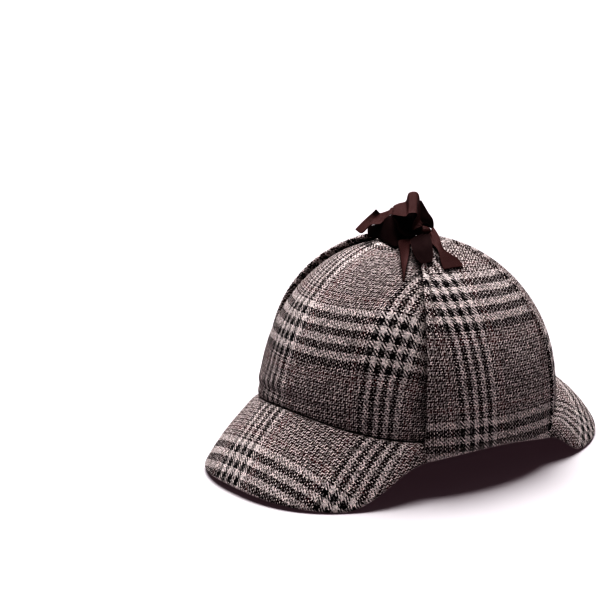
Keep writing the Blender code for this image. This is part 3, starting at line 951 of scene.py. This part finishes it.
# %% [markdown]
# ## Ribbons
#
# One ribbon, 20 mm wide, is sewn near each flap's tip, and the two are tied in a bow. A ribbon bends
# easily along its length but keeps its width, so each stretch is a band between two edge curves. A short
# table gives the two edges at each place where the band turns, and Catmull-Rom curves join the rows. A
# slight curl across the width and pleats near the knot make it cloth rather than tape.

# %% Bow: axes and tables
BOW_TURN = radians(52)
BOW_LEAN = radians(12)
KNOT_PLACE = (11 * MM, -4.5 * MM)
KNOT_HALF = np.array([5.0, 4.6, 4.3]) * MM
RIBBON_CLOTH = 0.6 * MM

# Each row is a point of the near edge and then one of the far edge, in millimetres, along the bow's axes:
# across, up and toward, seen from in front and to the wearer's left.
LOOP_FRONT = [
    (-4.3, -1, 4.9, -5.4, 1.6, 3.5),
    (-10, -3.4, 8.5, -7.6, 9.6, -3),
    (-15.6, -1, 12, -13.2, 11.5, -3.5),
    (-17.7, 4.5, 12.5, -16.4, 13, -4),
    (-20.6, 9, 12, -19, 15.2, -4.5),
    (-16.2, 8.9, 11, -15.7, 17.3, -5),
    (-11.9, 8.8, 10.5, -11.3, 18.9, -5.5),
    (-9.6, 10.9, 10, -9.5, 24.1, -5),
    (-5.2, 10.6, 9.5, -4.4, 24.2, -5),
    (-7.4, 5.7, 9, -2.9, 16.3, -2),
    (-7.7, 0.8, 7.5, -2.5, 8.1, -0.5),
    (-2.6, 3.1, 4.9, -1.3, 5.2, 1.4),
]
LOOP_BACK = [
    (-2.8, 5.2, -1.2, 3.1, 5.2, -1.4),
    (-9, 7.4, -6.5, 6, 3, -5.9),
    (-10.6, 11.5, -9, 5.8, 8.1, -7),
    (-10, 15.6, -10.5, 2.6, 13, -9),
    (-8, 18, -12, -1.6, 20, -11.5),
    (-6.5, 13.5, -16, 1.5, 15, -15),
    (-3, 7, -12.5, 4, 8, -11.5),
    (-1.2, 3.2, -5.4, 3, 3.2, -5.4),
]
TAIL_LEFT = [
    (-5.5, 1, -1.2, -5.1, 2.5, -4.4),
    (-12, 3.2, -6, -11.6, 6.4, -13),
    (-19.1, 10.5, -6, -18.3, 14.9, -17),
    (-24, 7.1, -3, -21.1, 13.4, -17),
    (-27.1, 4.1, -1, -24.3, 12, -15.5),
    (-32.7, 3.3, -1, -26.9, 11.2, -13),
    (-38.1, -1.8, 0, -28.4, 12.2, -11),
    (-41.8, 0.3, -6, -29.6, 13.2, -9),
]
TAIL_UNDER = [
    (-5.6, -2.4, 2.4, -5.6, -0.6, -1),
    (-11.5, -4.8, 3.8, -11.5, 1.5, -2),
    (-16.8, -9.6, 14, -18.2, 9.4, -1),
    (-21.1, -8.8, 11.5, -22, 8.6, 0),
    (-25.1, -6.2, 4, -25.1, 6.5, -3.9),
    (-29, -4.2, -6, -29.3, 3.7, -8),
    (-33.5, -3.6, -11, -33.9, 3, -13),
]
TAIL_NEAR = [
    (-1.8, -1.4, 5.4, 3.2, -1.4, 5.3),
    (-8.5, -5.6, 14, 3.5, -4.8, 14),
    (-7.9, -11, 23, 3.8, -9.2, 23.5),
    (-5.9, -16.4, 28.5, 3.8, -14.8, 29.5),
    (-3.1, -20, 32, 3.4, -18.4, 33),
]
TAIL_FRONT = [
    (-4.5, -3.3, 3.6, -3.3, -4.4, 2),
    (-11, -5.2, 9.5, -8.2, -7.2, 9.5),
    (-16.2, -6.8, 16, -9.2, -9.6, 14),
    (-15.4, -13.4, 22.5, -9.8, -14.1, 21),
    (-14.7, -20.9, 31, -11.3, -20.7, 30.5),
    (-14.2, -26.9, 37.5, -12.7, -26.9, 37),
    (-14, -31.1, 41.5, -13.3, -31.1, 41.2),
]
# The flap ribbons' rows are such points in the hat's x and y, and their height there above the crown.
STRAP_LEFT = [
    (46.4, -18.4, 5.7, 46.9, -4.2, 5.3),
    (42.7, -17.4, 6.2, 43.2, -3.5, 5.6),
    (38.6, -15.5, 7.2, 39.1, -7.4, 6.5),
    (34.9, -14.1, 7.6, 34.1, -9.5, 7.2),
    (26.5, -11, 5.2, 24.5, -3.8, 7.2),
    (17.8, -5.6, 4, 14.5, 0.6, 8),
]
STRAP_RIGHT = [
    (-49.5, -13, 5.4, -49.5, 7, 5.4),
    (-38, -11.5, 5, -38, 5.5, 5),
    (-24, -8.5, 4.6, -24, 3, 4.6),
    (-9, -6, 3.2, -9, 1, 3.2),
    (4.6, -4.4, 4, 5.2, 0.2, 4),
]


# %% Ribbon surface
INTO_KNOT = 1.2 * MM     # how far a tied end runs on into the knot


def crown_height_over(x, y):
    """Height of the crown's outer face above a point near its middle."""
    near = (np.abs(x / HALF_WIDTH) ** 2 + np.abs((y + APEX_FORWARD) / HALF_LENGTH) ** 2) ** 0.5
    return CROWN_HEIGHT * (1 - near**2) ** (1 / DOME_POWER)


def smooth(rows, count):
    """This many points of the Catmull-Rom curve through the rows."""
    rows = np.asarray(rows, float) * MM
    padded = np.vstack([2 * rows[0] - rows[1], rows, 2 * rows[-1] - rows[-2]])
    where = np.linspace(0, 1, count) * (len(rows) - 1)
    start = np.minimum(where.astype(int), len(rows) - 2)
    t = (where - start)[:, None]
    before, a, b, after = (padded[start + k] for k in range(4))
    return 0.5 * (2 * a + (b - before) * t + (2 * before - 5 * a + 4 * b - after) * t**2
                  + (3 * (a - b) + after - before) * t**3)


bow_axes = np.array(Matrix.Rotation(BOW_TURN, 3, "Z") @ Matrix.Rotation(-BOW_LEAN, 3, "X"))
knot_middle = np.array([*KNOT_PLACE, crown_height_over(*KNOT_PLACE) + PIECE_GAP + KNOT_HALF[2]])


def from_bow(points):
    """Points given as across, up and toward, in the hat's own axes."""
    return stacked(points[..., 0], -points[..., 2], points[..., 1]) @ bow_axes.T + knot_middle


def band_grid(near, far, columns, curl, pleats, ends):
    """Between two edge curves: straight across, then curled, and pleated towards the ends that are tied."""
    u = np.linspace(0, 1, columns)[None, :, None]
    middle = near[:, None] + (far - near)[:, None] * u
    along = lengths_along(middle, 0)[:, columns // 2]
    length = along[-1]
    tied = sum(np.exp(-np.abs(along - end * length) / (5 * MM)) for end in ends)[:, None]
    across = u[..., 0]
    fold = curl * (1 - (2 * across - 1) ** 2) + pleats * tied * np.cos(2 * pi * 2.5 * across)
    return middle + fold[..., None] * grid_normals(middle), along


def into_knot(edges, ends):
    """The two edge curves, with each tied end run on a little way into the knot."""
    step = edges[[0, -1]] - edges[[1, -2]]
    size = np.maximum(np.linalg.norm(step[:, :3], axis=1), np.linalg.norm(step[:, 3:], axis=1))
    beyond = edges[[0, -1]] + step / size[:, None] * INTO_KNOT
    rows = [beyond[:1]] * (0 in ends) + [edges] + [beyond[1:]] * (1 in ends)
    return np.concatenate(rows)


def ribbon_piece(name, edges, dull_side, rests_on, ends=(0,), columns=25, curl=0.35 * MM, pleats=0.3 * MM):
    """One stretch of ribbon with its dull face on one side. Its declared area is measured on this surface.

    It is less than that of the whole width, which a real ribbon folds in and this single layer doesn't show.
    """
    edges = into_knot(edges, ends)
    near, far = edges[:, :3], edges[:, 3:]
    points, along = band_grid(near, far, columns, curl, pleats, ends)
    points = points + RIBBON_CLOTH / 2 * grid_normals(points)
    u = np.linspace(0, RIBBON_WIDTH, columns)
    cloth = stacked(u[None, :], along[:, None])
    dull = cloth + (DULL_PLACE, 0)
    faces = (dull, cloth) if dull_side > 0 else (cloth, dull)
    obj = cloth_wall(name + "_cloth", points, faces[0], RIBBON_CLOTH, faces[1])
    finish_piece(obj, ribbon, "ribbon", name)
    held = "folded" if len(ends) > 1 else "draped"
    declare_sheet(obj, (RIBBON_WIDTH, along[-1]), grid_area(points), held, rests_on)


def bow_edges(rows, count):
    """The two edge curves of a stretch of the bow."""
    edges = smooth(rows, count)
    return np.concatenate([from_bow(edges[:, :3]), from_bow(edges[:, 3:])], axis=1)


def strap_edges(rows, count):
    """The two edge curves of a flap's ribbon, laid over the crown."""
    edges = smooth(rows, count)
    for column in (0, 3):
        edges[:, column + 2] += crown_height_over(edges[:, column], edges[:, column + 1])
    return edges


KNOT, CROWN = ("bow_knot",), ("bow_knot", "crown_front_panel")
ribbon_piece("bow_loop_front", bow_edges(LOOP_FRONT, 150), 1, KNOT, ends=(0, 1))
ribbon_piece("bow_loop_back", bow_edges(LOOP_BACK, 90), 1, KNOT, ends=(0, 1))
ribbon_piece("bow_tail_left", bow_edges(TAIL_LEFT, 90), -1, KNOT)
ribbon_piece("bow_tail_under", bow_edges(TAIL_UNDER, 60), 1, KNOT)
ribbon_piece("bow_tail_near", bow_edges(TAIL_NEAR, 80), -1, CROWN)
ribbon_piece("bow_tail_front", bow_edges(TAIL_FRONT, 80), 1, CROWN)
ribbon_piece("flap_ribbon_left", strap_edges(STRAP_LEFT, 80), -1, ("ear_flap_left", "bow_knot"), ends=(1,))
ribbon_piece("flap_ribbon_right", strap_edges(STRAP_RIGHT, 80), 1, ("ear_flap_right", "bow_knot"), ends=(1,))

# %% [markdown]
# ## Knot
#
# The knot is the ribbon wrapped once round the crossing. It is a rounded cushion whose skin is gathered
# into a few folds that run round it, deepest round its middle.

# %% Knot
def knot_piece():
    """A ball stretched to the knot's size, with folds by a sine of the place across it."""
    columns, rows = 97, 65
    turn = np.linspace(0, 2 * pi, columns)[None, :-1]
    tilt = np.linspace(-pi / 2, pi / 2, rows)[1:-1, None]
    ball = stacked(np.sin(tilt), np.cos(tilt) * np.sin(turn), np.cos(tilt) * np.cos(turn))
    folds = 1 - 0.07 * np.abs(np.sin(tilt * 3.2 + 0.5 * np.sin(turn))) * np.cos(tilt)
    points = ball * folds[..., None] * KNOT_HALF[[0, 2, 1]]
    ends = np.array([[-1, 0, 0], [1, 0, 0]]) * KNOT_HALF[0] * 0.97
    world = to_world(np.concatenate([from_bow(points).reshape(-1, 3), from_bow(ends)]))
    ring = np.arange(len(world) - 2).reshape(rows - 2, columns - 1)
    body = np.concatenate([quads(a, b) for a, b in zip(ring[:-1], ring[1:])])
    first, last = (stacked(len(world) - k, loop, np.roll(loop, -1))
                   for k, loop in ((2, ring[0]), (1, ring[-1])))
    obj = new_mesh("knot_wrap", world, [body[:, ::-1], first[:, ::-1], last], world[:, [0, 2]] + 5 * MM)
    finish_piece(obj, ribbon, "ribbon", "bow_knot")


knot_piece()

# %% [markdown]
# ## Floor and light
#
# A plain white floor runs out of view in every direction. One wide lamp, high behind the hat, gives the
# bright top and the soft shadow in front, and a faint world fills the rest. The floor also glows a very
# little in brown, as painted light that fills the shadow under the hat, so that shadow is brown and not
# black.

# %% Stage
FLOOR_HALF = 60.0


def stage_floor():
    """A wide flat square in matt white, with a faint brown glow that is painted light in the shadows."""
    corners = np.array([(-1, -1, 0), (1, -1, 0), (1, 1, 0), (-1, 1, 0)]) * FLOOR_HALF
    floor = new_mesh("floor", corners, [np.array([[0, 1, 2, 3]])])
    paint = bpy.data.materials.new("floor_white")
    paint.use_nodes = True
    # The brown emission is painted light: it lifts the shadow under the hat.
    set_sockets(paint.node_tree.nodes["Principled BSDF"].inputs, {
        "Base Color": (0.39, 0.378, 0.388, 1), "Roughness": 0.6, "Specular IOR Level": 0.2,
        "Emission Color": (0.035, 0.021, 0.026, 1), "Emission Strength": 1.0})
    floor.data.materials.append(paint)


def soft_sun(name, turn, rise, strength, spread):
    """A wide sun that shines from this direction round and above the view."""
    lamp = bpy.data.lights.new(name, "SUN")
    lamp.energy = strength
    lamp.angle = spread
    side = VIEW_TURN + turn
    way = np.array([sin(side) * cos(rise), -cos(side) * cos(rise), sin(rise)])
    right = unit(np.cross((0, 0, 1), way))
    new_object(name, lamp).matrix_world = turned(right, np.cross(way, right), way)


stage_floor()
soft_sun("key_light", radians(-172), radians(74), 5.8, radians(52))
world = bpy.data.worlds.new("studio")
world.use_nodes = True
set_sockets(world.node_tree.nodes["Background"].inputs, {"Color": (1.0, 0.92, 0.98, 1), "Strength": 0.05})
bpy.context.scene.world = world
bpy.context.scene.view_settings.view_transform = "Standard"
bpy.context.scene.view_settings.look = "Very High Contrast"
